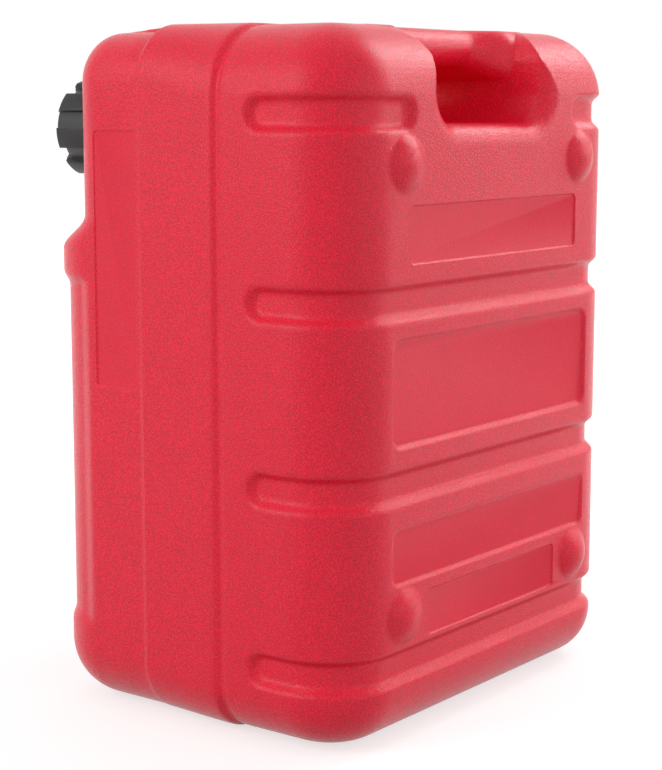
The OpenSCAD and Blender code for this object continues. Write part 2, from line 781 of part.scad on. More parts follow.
module flange_screws() {
    color([0.75, 0.75, 0.77])
        at_unit()
            for (i = [0 : screw_n - 1])
                rotate(screw_turn + 360 * i / screw_n)
                    translate([screw_ring, 0, 0])
                        difference() {
                            union() {
                                translate([0, 0, -6])
                                    cylinder(r = screw_r, h = flange_face + 6.5, $fn = 32);
                                translate([0, 0, flange_face])
                                    cylinder(r1 = 3.2, r2 = 2.4, h = 2.2, $fn = 32);
                            }
                            translate([-0.4, -1.7, flange_face + 1.2])
                                cube([0.8, 3.4, 2]);
                            translate([-1.7, -0.4, flange_face + 1.2])
                                cube([3.4, 0.8, 2]);
                        }
}

module gauge_dial() {
    color([0.93, 0.93, 0.90])
        at_unit()
            translate([0, 0, dial_z])
                difference() {
                    cylinder(r = well_r - 2.05, h = dial_t);
                    translate([1.5, 0, -1])
                        cylinder(r = shaft_r + clear, h = 4);
                }
}

module gauge_pointer() {
    color([0.85, 0.25, 0.10])
        at_unit()
            translate([1.5, 0, dial_z + dial_t + 0.5])
                union() {
                    cylinder(r = 2.2, h = 1.6);
                    translate([-0.7, -pointer_l, 0.3])
                        cube([1.4, pointer_l + 3, 0.8]);
                }
}

module gauge_lens() {
    color([0.85, 0.92, 0.95, 0.45])
        at_unit()
            translate([0, 0, flange_face + well_h - 1.6])
                difference() {
                    union() {
                        cylinder(r = well_r - 1.25, h = 2.4);
                        translate([0, 0, 2.4])
                            cylinder(r1 = well_r - 1.25, r2 = well_r - 3.4, h = 1.2);
                    }
                    translate([0, 0, -0.5])
                        cylinder(r = well_r - 4, h = 2.4);
                }
}

module drive_shaft() {
    color([0.80, 0.80, 0.82])
        at_unit()
            translate([1.5, 0, 0]) {
                translate([0, 0, pivot_z + shaft_foot])
                    cylinder(r = shaft_r, h = dial_z + dial_t + 0.5 - pivot_z - shaft_foot, $fn = 32);
                translate([0, 0, pivot_z + shaft_foot])
                    cylinder(r1 = 2, r2 = 1.5, h = 3, $fn = 32);
                translate([0, 0, pivot_z + plate_up + bracket_t])
                    cylinder(r = 2.1, h = 1.5, $fn = 32);
            }
}

module float_arm() {
    color([0.78, 0.78, 0.80])
        at_unit()
            translate([1.5, 0, pivot_z])
                difference() {
                    union() {
                        translate([-2.3, 0, 0])
                            rotate([0, 90, 0])
                                cylinder(r = 4.4, h = 4.6, $fn = 40);
                        rotate([-90, 0, 0])
                            cylinder(r = arm_r, h = arm_l, $fn = 32);
                        translate([-float_l / 2 - 3, arm_l, 0])
                            rotate([0, 90, 0])
                                cylinder(r = arm_r, h = float_l + 6, $fn = 32);
                    }
                    translate([-4, 0, 0])
                        rotate([0, 90, 0])
                            cylinder(r = pin_r + run_gap, h = 8, $fn = 32);
                }
}

module arm_pin() {
    color([0.70, 0.70, 0.72])
        at_unit()
            translate([-5.2, 0, pivot_z])
                rotate([0, 90, 0]) {
                    cylinder(r = pin_r, h = 13.4, $fn = 32);
                    cylinder(r = 2.2, h = 1.2, $fn = 32);
                }
}

module float() {
    color([0.95, 0.90, 0.75])
        at_unit()
            translate([1.5, arm_l, pivot_z])
                rotate([0, 90, 0])
                    difference() {
                        union() {
                            cylinder(r = float_r, h = float_l - 4, center = true);
                            cylinder(r = float_r - 2, h = float_l, center = true);
                        }
                        cylinder(r = arm_r + 0.05, h = float_l + 2, center = true, $fn = 32);
                        rotate([90, 0, 0])
                            cylinder(r = arm_r + 0.05, h = float_r + 2, $fn = 32);
                    }
}

module pickup_tube() {
    color([0.88, 0.86, 0.78])
        at_unit()
            translate([tube_x, tube_y, strainer_z + 6])
                difference() {
                    cylinder(r = tube_r, h = -strainer_z - 6 + 1.5 - spigot_l);
                    translate([0, 0, -1])
                        cylinder(r = tube_bore, h = -strainer_z);
                }
}

module strainer() {
    color([0.85, 0.84, 0.80])
        at_unit()
            translate([tube_x, tube_y, strainer_z])
                difference() {
                    cylinder(r = strainer_r, h = strainer_h);
                    translate([0, 0, 1.2])
                        cylinder(r = strainer_r - 1.2, h = strainer_h - 4.4);
                    translate([0, 0, 6])
                        cylinder(r = tube_r + 0.05, h = strainer_h);
                    for (a = [0 : 60 : 300])
                        rotate(a)
                            translate([strainer_r - 2, -1.2, 3])
                                cube([4, 2.4, strainer_h - 9]);
                }
}

// ---- fuel connector on the outlet ----

module at_nose() {
    at_unit()
        translate([0, -outlet_l, flange_face + outlet_up])
            rotate([0, -90, 90])
                children();
}

module connector() {
    color([0.80, 0.62, 0.30])
        at_nose()
            difference() {
                union() {
                    translate([0, 0, -9])
                        cylinder(r = bore_r + 2.4, h = 9.5);
                    cylinder(r = outlet_r + 1, h = hex_t, $fn = 6);
                    translate([0, 0, hex_t - 0.5])
                        cylinder(r = nose_r, h = nose_l - 1);
                    translate([0, 0, hex_t + nose_l - 1.5])
                        cylinder(r1 = nose_r, r2 = nose_r - 1, h = 1.5);
                }
                translate([0, 0, -10])
                    cylinder(r = bore_r - 1, h = 20);
                translate([0, 0, 2.6])
                    cylinder(r = bore_r, h = hex_t + nose_l - 6.1);
                translate([0, 0, hex_t + nose_l - 4])
                    cylinder(r = 1.5, h = 6, $fn = 32);
                translate([0, 0, hex_t + nose_l - 8])
                    difference() {
                        cylinder(r = nose_r + 1, h = 2);
                        translate([0, 0, -1])
                            cylinder(r = nose_r - 0.9, h = 4);
                    }
                translate([key_x, 0, 3])
                    cylinder(r = key_r, h = hex_t, $fn = 32);
            }
}

module connector_ring() {
    color([0.10, 0.10, 0.10])
        at_nose()
            translate([0, 0, hex_t + nose_l - 7])
                rotate_extrude()
                    translate([nose_r - 0.46, 0])
                        offset(r = 0.4, $fn = 24)
                            square([0.06, 0.8], center = true);
}

module connector_key() {
    color([0.74, 0.74, 0.76])
        at_nose()
            translate([key_x, 0, 3])
                cylinder(r = key_r, h = hex_t + 8, $fn = 32);
}

module check_pin() {
    color([0.76, 0.76, 0.78])
        at_nose() {
            translate([0, 0, hex_t + nose_l - 9])
                cylinder(r = 1.5 - run_gap, h = 9.6, $fn = 32);
            translate([0, 0, hex_t + nose_l - 5.6])
                cylinder(r = bore_r - run_gap, h = 2, $fn = 40);
        }
}

// Coil spring behind the check pin, as stacked turns.
module check_spring() {
    low = 3;
    top = hex_t + nose_l - 6;
    turns = 8;
    color([0.70, 0.70, 0.73])
        at_nose()
            for (i = [0 : turns - 1])
                translate([0, 0, low + (top - low) * i / (turns - 1)])
                    rotate_extrude($fn = 32)
                        translate([1.9, 0])
                            circle(r = 0.35, $fn = 16);
}

tank_shell();
filler_cap();
cap_insert();
cap_gasket();
vent_screw();
vent_seal();
vent_clip();
flange_gasket();
unit_body();
flange_screws();
gauge_dial();
gauge_pointer();
gauge_lens();
drive_shaft();
float_arm();
arm_pin();
float();
pickup_tube();
strainer();
connector();
connector_ring();
connector_key();
check_pin();
check_spring();
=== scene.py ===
import math

import bmesh
import bpy
import numpy as np
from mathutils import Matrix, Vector


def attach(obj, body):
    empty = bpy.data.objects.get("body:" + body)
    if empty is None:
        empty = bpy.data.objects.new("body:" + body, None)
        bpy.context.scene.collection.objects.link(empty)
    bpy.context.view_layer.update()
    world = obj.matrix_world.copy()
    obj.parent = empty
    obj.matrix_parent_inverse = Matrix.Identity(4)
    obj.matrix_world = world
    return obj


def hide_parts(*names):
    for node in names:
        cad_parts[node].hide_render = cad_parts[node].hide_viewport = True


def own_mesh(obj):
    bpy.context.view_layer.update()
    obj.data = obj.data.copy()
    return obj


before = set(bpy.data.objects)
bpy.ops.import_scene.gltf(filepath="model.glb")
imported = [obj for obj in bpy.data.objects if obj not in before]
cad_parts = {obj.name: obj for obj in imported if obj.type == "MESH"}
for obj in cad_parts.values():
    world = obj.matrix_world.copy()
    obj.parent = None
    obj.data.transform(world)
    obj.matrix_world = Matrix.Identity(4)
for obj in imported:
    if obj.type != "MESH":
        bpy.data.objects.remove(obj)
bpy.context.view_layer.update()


# ---- Tank shell ----
# The tank is one hollow blow-moulded piece of red polyethylene. Its end rounding, its grooves and
# its raised middle band change from front to rear, which no primitive gives, so the skin is lofted
# from level rings. The hand opening is then cut out of it, and handle, feet and seats joined to it.

# Whole size, the place of the front face, the rounding of the upright edges and the wall, in mm.
full_w, full_h, full_d = 315.0, 425.0, 244.0
half_w, half_h = full_w / 2, full_h / 2
front_y = -128.0
edge_r, wall = 45.0, 3.2
# Rounding of the top and bottom edges, at the front and at the rear; it changes up to blend_d.
top_front_r, top_rear_r, base_front_r, base_rear_r = 43.0, 31.0, 33.0, 38.0
# The raised band lies between these depths. What's before and behind it stands back from it.
step_d, part_d, blend_d = 94.0, 152.0, 172.0
front_in, rear_in, rear_drop = 1.3, 0.8, 4.4
step_run, rear_lead, rear_run, drop_run = 3.0, 1.0, 4.0, 6.0
# A soft lip along the band's front step, and a fine line at its rear one: height and width.
lip_high, lip_wide, line_deep, line_wide = 1.5, 2.3, 0.35, 0.8
# Four grooves: the lowest one's height, their pitch and section, and where they run out.
groove_z, groove_pitch, groove_count = 47.0, 108.8, 4
groove_deep, groove_half, groove_slope = 5.0, 12.0, 6.5
groove_end, groove_gap = 74.0, 88.0
# The top slopes down to the rear, and the rear face has a broad shallow recess for a strap.
deck_drop, deck_z, deck_run, base_lean = 23.0, 290.0, 22.0, 2.0
strap_deep, strap_z0, strap_z1 = 3.6, 50.0, 276.0
strap_ramp, strap_lead, strap_turn = 9.0, 4.0, 14.0
# The hand opening, and how far its tool stands out at the front, the rear and the top.
hand_half, hand_floor, hand_r, flare, shoulder_r = 60.0, 366.0, 20.0, 13.0, 22.0
over_front, over_rear, over_top = 8.0, 40.0, 4.0
# The handle bar's axis and section, and how it swells and dips on its way into the shoulders.
bar_y, bar_z, bar_r, bar_half = -47.0, 412.5, 11.5, 25.5
swell_x, swell_run, swell_wide, swell_drop = 34.0, 30.0, 16.0, 9.0
# Four domed feet on the front face: a ball that stands out of it at each of these places.
foot_r, foot_x, foot_y, foot_z = 24.1, 98.0, -110.9, (78.5, 343.5)
# Where the filler's and the fuel unit's axes leave their seats on the rear, in metres.
cap_spot, cap_seat_r = (-0.095, 0.093, 0.362), 24.6
unit_spot, unit_seat_r = (0.100, 0.093, 0.349), 30


def ease(t):
    t = np.clip(t, 0, 1)
    return t * t * (3 - 2 * t)


def arc(first, last, count):
    """Cosine and sine of evenly spaced angles from first to last, in degrees."""
    a = np.radians(np.linspace(first, last, count + 1))
    return np.column_stack((np.cos(a), np.sin(a)))


def half_outline(front_x, side_d, corner_n, rear_x):
    """Right half of the tank's outline: core x, core depth and the outward normal of each point."""
    cx, near, far = half_w - edge_r, edge_r, full_d - edge_r
    rows = [(x, near, 0, -1) for x in front_x]
    rows += [(cx, near, c, s) for c, s in arc(-90, 0, corner_n)]
    rows += [(cx, d, 1, 0) for d in side_d]
    rows += [(cx, far, c, s) for c, s in arc(0, 90, corner_n)]
    rows += [(x, far, 0, 1) for x in rear_x]
    return np.array(rows, float)


def groove_in(x, d, z):
    """How deep the grooves lie at a point; they run out on the sides and the top one stops short."""
    past = np.maximum(0, d - (groove_end - groove_half))
    deep = 0
    for i in range(groove_count):
        top = i == groove_count - 1
        gap = np.where(d < edge_r, np.maximum(0, groove_gap + groove_half - x), 0) if top else 0
        off = np.sqrt(past ** 2 + gap ** 2 + (z - groove_z - i * groove_pitch) ** 2)
        deep = deep + groove_deep * ease((groove_half - off) / groove_slope)
    return deep


def skin(outline, levels, inside=0.0):
    """Level rings of the tank's skin, or of its inner wall at a distance inside it."""
    cx, cd, nx, nd = (outline[:, k][None, :] for k in range(4))
    z = np.array(levels, float)[:, None]
    x0, d0 = cx + edge_r * nx, cd + edge_r * nd
    upper = z > half_h
    share = ease((d0 - step_d) / (blend_d - step_d))
    end_r = np.where(upper, top_front_r + (top_rear_r - top_front_r) * share,
                     base_front_r + (base_rear_r - base_front_r) * share) - inside
    room = np.where(upper, full_h - z, z) - inside
    inset = np.where(room >= end_r, 0, end_r - np.sqrt(np.maximum(0, end_r ** 2 - (end_r - room) ** 2)))
    strap = strap_deep * ease((z - strap_z0) / strap_ramp) * ease((strap_z1 - z) / strap_ramp)
    strap = strap * ease((d0 - full_d + edge_r + strap_lead) / strap_turn)
    r = edge_r - inside - inset - groove_in(x0, d0, z) - strap
    x, d = cx + r * nx, cd + r * nd
    before = 1 - ease((d - step_d + step_run / 2) / step_run)
    crease = 0
    if inside == 0:
        crease = lip_high * np.exp(-((d - step_d) / lip_wide) ** 2) - line_deep * np.exp(
            -((d - part_d) / line_wide) ** 2)
    side = front_in * before + rear_in * ease((d - part_d + rear_lead) / rear_run) + crease
    top = front_in * before + rear_drop * ease((d - part_d + rear_lead) / drop_run) + crease
    foot = front_in * before + np.maximum(crease, 0)
    deck = deck_drop * ease((z - deck_z) / deck_run) + base_lean * ease((strap_z0 + strap_ramp - z) / strap_ramp)
    deck = deck * np.clip((d - part_d) / (full_d - part_d), 0, 1)
    across = x - side * x / half_w
    along = d - deck + front_y
    up = np.where(upper, z - top * (z - half_h) / half_h, z + foot * (half_h - z) / half_h)
    right = np.stack((across, along, up), axis=2)
    left = right[:, ::-1] * np.array([-1, 1, 1])
    return np.concatenate((right, left), axis=1)


def pick(*pieces):
    """Leaves only these objects selected, the last one active."""
    bpy.ops.object.select_all(action="DESELECT")
    for piece in pieces:
        piece.select_set(True)
    bpy.context.view_layer.objects.active = pieces[-1]


def loft(name, rings):
    """A closed mesh from rings of points in millimetres, with its normals outwards."""
    m, n = rings.shape[:2]
    faces = [(k * n + i, k * n + (i + 1) % n, (k + 1) * n + (i + 1) % n, (k + 1) * n + i)
             for k in range(m - 1) for i in range(n)]
    faces += [tuple(range(n))[::-1], tuple((m - 1) * n + i for i in range(n))]
    mesh = bpy.data.meshes.new(name)
    mesh.from_pydata((rings.reshape(-1, 3) * 0.001).tolist(), [], faces)
    piece = bpy.data.objects.new(name, mesh)
    bpy.context.scene.collection.objects.link(piece)
    pick(piece)
    bpy.ops.object.mode_set(mode="EDIT")
    bpy.ops.mesh.select_all(action="SELECT")
    bpy.ops.mesh.remove_doubles(threshold=1e-6)
    bpy.ops.mesh.normals_make_consistent(inside=False)
    bpy.ops.object.mode_set(mode="OBJECT")
    return piece


def finish_with(piece, kind, **settings):
    """Adds one modifier and applies it."""
    pick(piece)
    modifier = piece.modifiers.new(kind.lower(), kind)
    for key, value in settings.items():
        setattr(modifier, key, value)
    bpy.ops.object.modifier_apply(modifier=modifier.name)


def carve(piece, tool, operation="DIFFERENCE"):
    """Cuts the tool out of a piece, or joins it on, and takes the tool away."""
    finish_with(piece, "BOOLEAN", object=tool, operation=operation, solver="MANIFOLD")
    bpy.data.objects.remove(tool)


def hand_opening(grow, corner_n, mouth_n):
    """The hand opening as a solid: a U-shaped outline along the depth, flared at both mouths."""
    a = np.linspace(0, math.pi / 2, mouth_n + 1)
    rear = full_d - deck_drop
    stations = [(-over_front, flare)] + [(flare * (1 - math.cos(t)), flare * (1 - math.sin(t))) for t in a]
    stations += [(rear - s, f) for s, f in stations[:0:-1]] + [(rear + over_rear, flare)]
    rings = []
    for d, wide in stations:
        f = wide + grow
        side = [(hand_half - hand_r + (hand_r + f) * c, hand_floor + hand_r + (hand_r + f) * s)
                for c, s in arc(-90, 0, corner_n)]
        top = full_h - front_in - shoulder_r
        side += [(hand_half + f + shoulder_r * (1 - c), top + shoulder_r * s)
                 for c, s in arc(0, 90, corner_n)[1:]]
        side.append((hand_half + f + shoulder_r + over_top, full_h + over_top))
        ring = [(x, d + front_y, z) for x, z in side]
        rings.append(ring + [(-x, y, z) for x, y, z in ring[::-1]])
    return loft("hand_tool", np.array(rings, float))


def bar(inside, reach, root):
    """The handle bar along X as a rounded section that swells into the shoulders."""
    rings = []
    for x in np.linspace(-reach, reach, 61 if root else 3):
        grow = ease((abs(x) - swell_x) / swell_run) if root else 0
        r, drop, wide = bar_r - inside, swell_drop * grow, bar_half + swell_wide * grow
        ring = [(x, bar_y + wide + r * c, bar_z - drop + r * s + drop * max(s, 0))
                for c, s in arc(-90, 90, 16)]
        ring += [(x, bar_y - wide - r * c, bar_z - drop - r * s + drop * max(-s, 0))
                 for c, s in arc(-90, 90, 16)]
        rings.append(ring)
    return loft("bar", np.array(rings, float))


rearward, upright = (-90, 0, 0), (0, 0, 0)


def set_down(piece, spot, lie=rearward):
    """Lays a piece made upright at the origin in its place on the tank, and applies that to its mesh."""
    piece.location = spot
    piece.rotation_euler = [math.radians(a) for a in lie]
    pick(piece)
    bpy.ops.object.transform_apply(location=True, rotation=True, scale=True)
    return piece


def rod(spot, radius, low, high, sides=64, lie=rearward):
    """A plain cylinder from low to high along its axis, in millimetres, laid in its place."""
    bpy.ops.object.select_all(action="DESELECT")
    bpy.ops.mesh.primitive_cylinder_add(vertices=sides, radius=radius * 0.001, depth=(high - low) * 0.001,
                                        location=(0, 0, (low + high) * 0.0005))
    piece = bpy.context.object
    bpy.ops.object.transform_apply(location=True)
    return set_down(piece, spot, lie)


base_levels = [base_rear_r * (1 - math.cos(math.radians(a))) for a in range(0, 91, 6)]
top_levels = [full_h - top_front_r * (1 - math.cos(math.radians(a))) for a in range(90, -1, -6)]
levels = sorted(set(np.round(base_levels + top_levels + list(np.arange(34, 386, 1.5)), 2)))
outline = half_outline(np.arange(2, 112, 2.5), np.arange(46, 199, 1.5), 24, np.arange(110, 0, -4.0))
shell = loft("tank_body", skin(outline, levels))
carve(shell, hand_opening(0, 16, 12))
parts = [bar(0, 84, True), rod(unit_spot, unit_seat_r, -12, 3, 96), rod(cap_spot, cap_seat_r, -8, 2.5, 96)]
for x in (-foot_x, foot_x):
    for z in foot_z:
        bpy.ops.mesh.primitive_uv_sphere_add(segments=48, ring_count=32, radius=foot_r * 0.001,
                                             location=(x * 0.001, foot_y * 0.001, z * 0.001))
        parts.append(bpy.context.object)
pick(*parts, shell)
bpy.ops.object.join()
bpy.ops.object.transform_apply(location=True, rotation=True, scale=True)
finish_with(shell, "REMESH", mode="VOXEL", voxel_size=0.0011)
finish_with(shell, "SMOOTH", factor=0.5, iterations=2)
finish_with(shell, "DECIMATE", ratio=0.135)


# ---- Filler neck, unit seat and hollow ----
# They are moulded in one with the shell: a neck with an outside thread for the cap, the hole and
# screw holes of the fuel unit, and the fuel space inside, which also runs through the handle bar.

def turned(name, stations, sides=96, closed=False):
    """A turned piece: a circle extruded from station to station, each a radius and a height in mm."""
    bpy.ops.object.select_all(action="DESELECT")
    r, z = stations[0]
    bpy.ops.mesh.primitive_circle_add(vertices=sides, radius=r * 0.001, location=(0, 0, z * 0.001))
    piece = bpy.context.object
    piece.name = name
    bpy.ops.object.transform_apply(location=True)
    bpy.ops.object.mode_set(mode="EDIT")
    bpy.ops.mesh.select_all(action="SELECT")
    for r1, z1 in stations[1:] + (stations[:1] if closed else []):
        bpy.ops.mesh.extrude_edges_move(TRANSFORM_OT_translate={"value": (0, 0, (z1 - z) * 0.001)})
        bpy.ops.transform.resize(value=(r1 / r, r1 / r, 1), center_override=(0, 0, z1 * 0.001))
        r, z = r1, z1
    bpy.ops.mesh.select_all(action="SELECT")
    bpy.ops.mesh.remove_doubles(threshold=1e-6)
    if not closed:
        bpy.ops.mesh.fill_holes(sides=0)
        bpy.ops.mesh.select_all(action="SELECT")
    bpy.ops.mesh.normals_make_consistent(inside=False)
    bpy.ops.object.mode_set(mode="OBJECT")
    return piece


def wound(name, rib, turns, rise, steps):
    """A rib wound up round the axis: the corners of its section in mm, its turns and its whole rise."""
    mesh = bpy.data.meshes.new(name)
    corners = len(rib)
    mesh.from_pydata([(r * 0.001, 0, z * 0.001) for r, z in rib],
                     [(i, (i + 1) % corners) for i in range(corners)], [])
    piece = bpy.data.objects.new(name, mesh)
    bpy.context.scene.collection.objects.link(piece)
    finish_with(piece, "SCREW", angle=turns * math.tau, screw_offset=rise * 0.001,
                steps=int(turns * steps), render_steps=int(turns * steps))
    bpy.ops.object.mode_set(mode="EDIT")
    bpy.ops.mesh.select_all(action="SELECT")
    bpy.ops.mesh.fill_holes(sides=0)
    bpy.ops.mesh.select_all(action="SELECT")
    bpy.ops.mesh.normals_make_consistent(inside=False)
    bpy.ops.object.mode_set(mode="OBJECT")
    return piece


neck_r = 21.6
neck = turned("neck", [(neck_r, -8), (neck_r, 25.3), (20.9, 26), (19, 26)])
carve(shell, set_down(neck, cap_spot), "UNION")
thread = wound("thread", [(21.1, 9.4), (22.55, 10.4), (22.55, 11.2), (21.1, 12.2)], 1.75, 10.5, 72)
carve(shell, set_down(thread, cap_spot), "UNION")

hollow_levels = [wall + (base_rear_r - wall) * (1 - math.cos(math.radians(a))) for a in range(0, 91, 10)]
hollow_levels += list(np.arange(41, 380, 4.0))
hollow_levels += [full_h - wall - (top_front_r - wall) * (1 - math.cos(math.radians(a)))
                  for a in range(90, -1, -10)]
hollow_outline = half_outline(np.arange(4, 112, 8), np.arange(50, 199, 5), 10, np.arange(106, 0, -12.0))
hollow = loft("hollow", skin(hollow_outline, hollow_levels, wall))
carve(hollow, hand_opening(wall, 8, 6))
carve(hollow, rod(unit_spot, unit_seat_r, -12, 24))
carve(hollow, rod(cap_spot, neck_r, -8, 12))
carve(shell, hollow)
carve(shell, bar(wall, 86, False))
bore = turned("bore", [(18.5, -30), (18.5, 25.5), (19.1, 26.1), (19.1, 30)])
carve(shell, set_down(bore, cap_spot))
carve(shell, rod(unit_spot, 18.4, -20, 20, 96))
screw_ring, screw_turns = 23, [18 + 72 * i for i in range(5)]
screw_spots = [(screw_ring * math.cos(math.radians(a)), screw_ring * math.sin(math.radians(a)))
               for a in screw_turns]
for x, y in screw_spots:
    hole = (unit_spot[0] + x * 0.001, unit_spot[1], unit_spot[2] - y * 0.001)
    carve(shell, rod(hole, 1.65, -8, 22, 20))


# ---- Panels and finish of the shell ----
# The mould presses flat panels into the front and the left face, smoother than the pebbled skin
# round them. The panels are left bare.

def recess(half_a, low, high, deep, corner, wide, tilt=0.0):
    """Rings of a panel's cutter, seen on the face: across, up and down its rounded wall to its floor.

    A tilt takes the floor that much deeper at its lower edge and less deep at its upper one.
    """
    half_b, mid_b = (high - low) / 2, (high + low) / 2
    above, outer, least_r = 2.0, 0.4, 0.3
    profile = [(-above, outer * wide)]
    profile += [(deep * ease(u), wide * (outer - u)) for u in np.linspace(0, 1, 9)]
    rings = []
    for down, grow in profile:
        r = max(least_r, corner + grow)
        ring = []
        for sa, sb, first in ((1, 1, 0), (-1, 1, 90), (-1, -1, 180), (1, -1, 270)):
            ring += [(sa * (half_a + grow - r) + r * c, sb * (half_b + grow - r) + r * s)
                     for c, s in arc(first, first + 90, 6)]
        rings.append([(x, mid_b + z, down - tilt * z / half_b * ease(down / deep)) for x, z in ring])
    return np.array(rings, float)


def sink(rings, finish=1):
    """Cuts a panel into the shell; its floor takes another of the shell's materials."""
    tool = loft("panel", rings)
    for material in shell.data.materials:
        tool.data.materials.append(material)
    tool.data.polygons[-1].material_index = finish
    carve(shell, tool)


def on_front(rings):
    """Lays a cutter's rings on the front face."""
    return np.stack((rings[..., 0], front_y + rings[..., 2], rings[..., 1]), axis=2)


def on_left(rings, middle):
    """Lays a cutter's rings on the left face behind the band, about a depth from the front."""
    face_x = -half_w + rear_in
    return np.stack((face_x + rings[..., 2], rings[..., 0] + front_y + middle, rings[..., 1]), axis=2)


def dress(tree, node, settings):
    """Sets a shader node's inputs, each to a value or to the output that feeds it."""
    for name, value in settings.items():
        if isinstance(value, bpy.types.NodeSocket):
            tree.links.new(value, node.inputs[name])
        else:
            node.inputs[name].default_value = value


def shading(tree, kind, settings, **options):
    """A new shader node with its options and inputs."""
    node = tree.nodes.new("ShaderNode" + kind)
    for name, value in options.items():
        setattr(node, name, value)
    dress(tree, node, settings)
    return node


def blank(name):
    """A new material: itself, its node tree, its shader and the object's own coordinates."""
    material = bpy.data.materials.new(name)
    material.use_nodes = True
    tree = material.node_tree
    place = shading(tree, "TexCoord", {}).outputs["Object"]
    return material, tree, tree.nodes["Principled BSDF"], place


cloud_scale, pebble_scale, crumb_scale = 38, 1000, 1300
pebble_blur, pebble_high = 0.3, 0.00017
# Grain heights over which the painted shade in the hollows turns into painted highlight on the crests.
pit_shade_low, pit_shade_high = 0.6, 1.25


def plastic(name, colour, roughness, grain=0.0, size=1.1, mottle=0.06, gloss=0.5, painted_pit_shade=0.0):
    """Moulded plastic: a faintly clouded colour, and a pebble grain pressed in by the mould.

    The grain is the strength of its relief and the size its pebbles' width in mm. The last number
    sets how much painted shade darkens the grain's hollows and how much painted highlight lightens its crests.
    """
    material, tree, shader, place = blank(name)
    cloud = shading(tree, "TexNoise", {"Vector": place, "Scale": cloud_scale, "Detail": 4})
    tones = [(*[min(1, c * k) for c in colour], 1) for k in (1 - mottle, 1 + mottle)]
    blend = shading(tree, "Mix", {0: cloud.outputs["Fac"], 6: tones[0], 7: tones[1]}, data_type="RGBA")
    result = blend.outputs[2]
    if grain:
        pebble = shading(tree, "TexVoronoi", {"Vector": place, "Scale": pebble_scale / size,
                                              "Smoothness": pebble_blur}, feature="SMOOTH_F1")
        crumb = shading(tree, "TexNoise", {"Vector": place, "Scale": crumb_scale / size, "Detail": 3})
        height = shading(tree, "Math", {0: crumb.outputs["Fac"], 1: pebble.outputs["Distance"]},
                         operation="ADD").outputs[0]
        bump = shading(tree, "Bump", {"Strength": grain, "Distance": pebble_high, "Height": height})
        dress(tree, shader, {"Normal": bump.outputs["Normal"]})
        # Painted shade and painted highlight: the colour is darkened in the grain's hollows and lightened on its
        # crests, following the bump's height.
        if painted_pit_shade:
            shade = shading(tree, "MapRange", {"Value": height, "From Min": pit_shade_low, "From Max": pit_shade_high,
                                               "To Min": 1 - painted_pit_shade, "To Max": 1 + painted_pit_shade})
            pit_shaded = shading(tree, "VectorMath", {0: result, "Scale": shade.outputs["Result"]},
                           operation="SCALE")
            result = pit_shaded.outputs["Vector"]
    dress(tree, shader, {"Roughness": roughness, "Specular IOR Level": gloss, "Base Color": result})
    return material


shell_smooth = 32


def coat(piece, *materials, angle=shell_smooth):
    """Gives a piece its materials and smooth shading up to an angle."""
    piece.data.materials.clear()
    for material in materials:
        piece.data.materials.append(material)
    pick(piece)
    bpy.ops.object.shade_smooth_by_angle(angle=math.radians(angle))


def hand_over(piece, name, body, finish, *nodes):
    """Says what a finished piece is called, rides on and stands for; its finish is not used."""
    piece.name = piece.data.name = name
    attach(piece, body)
    if nodes:
        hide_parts(*nodes)


# The last number of each red is its painted shade in the grain's hollows and painted highlight on its crests.
red_grained = plastic("red_grained", (0.82, 0.012, 0.042), 0.26, 1.0, 0.95, 0.05, 0.29, 0.24)
red_panel = plastic("red_panel", (0.81, 0.012, 0.042), 0.33, 0.5, 0.8, 0.05, 0.2, 0.12)
red_side = plastic("red_side", (0.82, 0.012, 0.042), 0.27, 0.7, 0.8, 0.05, 0.28, 0.17)
coat(shell, red_grained, red_panel, red_side)
shell.data.polygons.foreach_set("material_index", [0] * len(shell.data.polygons))
# Half width, lower and upper edge, depth, corner, width of the wall, and tilt.
for panel in ((94, 286, 320, 1.1, 4, 1.2, 0), (110, 179.5, 243.5, 2.4, 8, 3.8, 0.3),
              (110, 97.5, 132.5, 1.5, 7, 3.2, 0.8), (73.5, 61.5, 90, 1.1, 3, 1.2, 0)):
    sink(on_front(recess(*panel)))
sink(on_left(recess(17, 205.5, 362, 1.0, 3.5, 1.5), 174), 2)
pick(shell)
bpy.ops.object.shade_smooth_by_angle(angle=math.radians(shell_smooth))
hand_over(shell, "tank_body", "tank", "tank_red", "tank_shell")


# ---- Filler cap ----
# The cap is moulded in black polypropylene. Eight wide lobes give the grip, and every second gap
# between them is cut down into the end wall; a round seat in the middle takes the vent's seal.

def choose(piece, test, kind="FACE"):
    """Opens a piece in edit mode with only those faces or corners selected that pass a test in mm."""
    pick(piece)
    bpy.ops.object.mode_set(mode="EDIT")
    bpy.ops.mesh.select_mode(type=kind)
    bpy.ops.mesh.select_all(action="DESELECT")
    mesh = bmesh.from_edit_mesh(piece.data)
    if kind == "FACE":
        for face in mesh.faces:
            face.select_set(bool(test(face.calc_center_median() * 1000, face.normal)))
    else:
        for corner in mesh.verts:
            corner.select_set(bool(test(corner.co * 1000, corner.normal)))
    bmesh.update_edit_mesh(piece.data)


def resize(x, y, z, centre=(0, 0, 0)):
    """Scales what is selected about a point in mm, and leaves edit mode."""
    bpy.ops.transform.resize(value=(x, y, z), center_override=[c * 0.001 for c in centre])
    bpy.ops.object.mode_set(mode="OBJECT")


def off_beat(at, count):
    """How far a point's angle round the axis lies from the nearest of count even beats, in degrees."""
    step = 360 / count
    return abs((math.degrees(math.atan2(at.y, at.x)) + step / 2) % step - step / 2)


